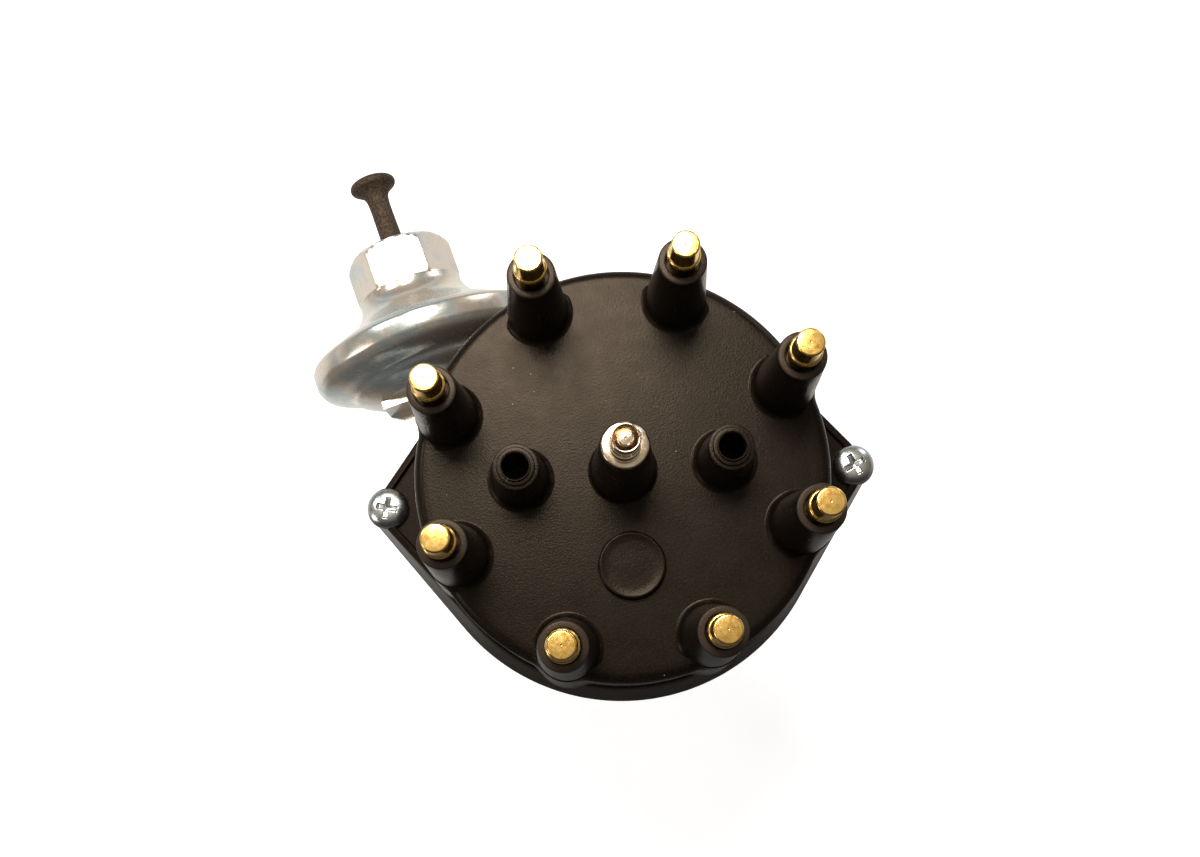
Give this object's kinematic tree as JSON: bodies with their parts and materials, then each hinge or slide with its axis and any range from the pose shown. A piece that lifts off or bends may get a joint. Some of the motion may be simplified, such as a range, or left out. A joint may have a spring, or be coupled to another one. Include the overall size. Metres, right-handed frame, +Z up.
{
  "type": "ignition distributor",
  "caption": "Engine ignition distributor: moulded cap with plug towers, billet housing, vacuum canister, centrifugal advance, magnetic pickup and skew drive gear.",
  "frame": {"origin": "shaft axis at the underside of the mounting collar", "axes": "+Z up the shaft to the cap, +X along the line through the cap screws; the vacuum canister is on the -X +Y side"},
  "size_m": [0.1425, 0.1499, 0.2564],
  "materials": {
    "black_moulding": "fine-grained matt moulding, very dark warm brown-black",
    "brass": "turned, lightly mottled",
    "nickel": "bright nickel plate",
    "zinc_steel": "zinc plated fasteners",
    "canister_plate": "bright zinc plated pressing",
    "billet": "machined and polished",
    "steel": "ground steel",
    "gear_steel": "cut and hardened steel",
    "bronze": "sintered bronze",
    "rubber": "matt rubber",
    "rotor_moulding": "matt moulding",
    "carbon": "pressed carbon",
    "spring_steel": "bright wire",
    "magnet": "plated magnet",
    "coil_moulding": "potted coil"
  },
  "bodies": {
    "housing": {"housing": "billet", "distributor_cap": "black_moulding", "cap_screws": "zinc_steel", "plug_terminals": "brass", "coil_terminal_post": "nickel", "coil_terminal_nut": "nickel", "brush_spring": "spring_steel", "lower_bush": "bronze", "barrel_o_ring": "rubber", "bearing_outer_ring": "steel", "bearing_seals": "rubber", "lead_grommet": "rubber", "canister_front_shell": "canister_plate", "canister_rear_shell": "canister_plate", "canister_bracket": "canister_plate", "canister_screws": "zinc_steel", "diaphragm_spring": "spring_steel", "spring_adjuster": "zinc_steel", "hex_nose": "canister_plate", "vacuum_nipple": "brass", "port_plug": "rubber", "plate_retaining_ring": "spring_steel"},
    "shaft": {"main_shaft": "steel", "drive_gear": "gear_steel", "gear_pin": "spring_steel", "thrust_washer": "bronze", "bearing_inner_ring": "steel", "centre_cam": "steel", "cam_clip": "spring_steel"},
    "advance": {"advance_sleeve": "steel", "weight_plate": "steel", "reluctor": "gear_steel", "rotor": "rotor_moulding", "rotor_blade": "brass", "rotor_screws": "zinc_steel", "advance_springs": "spring_steel"},
    "weight_a": {"weight_a": "steel"},
    "weight_b": {"weight_b": "steel"},
    "pickup": {"pickup_plate": "zinc_steel", "pickup_screws": "zinc_steel", "pickup_bracket": "zinc_steel", "pole_piece": "steel", "pickup_coil": "coil_moulding", "pickup_magnet": "magnet"},
    "vacuum_rod": {"pull_rod": "zinc_steel", "diaphragm_cup": "zinc_steel", "diaphragm": "rubber"},
    "brush": {"carbon_brush": "carbon"}
  },
  "joints": [
    {"name": "shaft_spin", "type": "hinge", "parent": "housing", "child": "shaft", "pos_m": [0, 0, 0], "axis": [0, 0, 1], "continuous": true},
    {"name": "centrifugal_advance", "type": "hinge", "parent": "shaft", "child": "advance", "pos_m": [0, 0, 0.0665], "axis": [0, 0, 1], "range_deg": [0, 12], "stiffness_Nm_per_rad": 0.3, "deforming": ["advance_springs"]},
    {"name": "weight_a_swing", "type": "hinge", "parent": "advance", "child": "weight_a", "pos_m": [0.01302, 0.01093, 0.0666], "axis": [0, 0, -1], "range_deg": [0, 20.01]},
    {"name": "weight_b_swing", "type": "hinge", "parent": "advance", "child": "weight_b", "pos_m": [-0.01302, -0.01093, 0.0666], "axis": [0, 0, -1], "range_deg": [0, 20.01]},
    {"name": "vacuum_advance", "type": "hinge", "parent": "housing", "child": "pickup", "pos_m": [0, 0, 0.0391], "axis": [0, 0, -1], "range_deg": [0, 10], "stiffness_Nm_per_rad": 0.5},
    {"name": "vacuum_rod_slide", "type": "slide", "parent": "housing", "child": "vacuum_rod", "axis": [-0.2571, 0.9664, 0], "range_m": [0, 0.00593], "deforming": ["diaphragm", "diaphragm_spring"]},
    {"name": "brush_slide", "type": "slide", "parent": "housing", "child": "brush", "axis": [0, 0, 1], "range_m": [0, 0.0015], "stiffness_N_per_m": 150, "deforming": ["brush_spring"]}
  ],
  "couplings": [
    {"joint": "weight_a_swing", "follows": "centrifugal_advance", "ratio": 1.6667},
    {"joint": "weight_b_swing", "follows": "centrifugal_advance", "ratio": 1.6667},
    {"joint": "vacuum_rod_slide", "follows": "vacuum_advance", "m_per_rad": 0.033957}
  ]
}
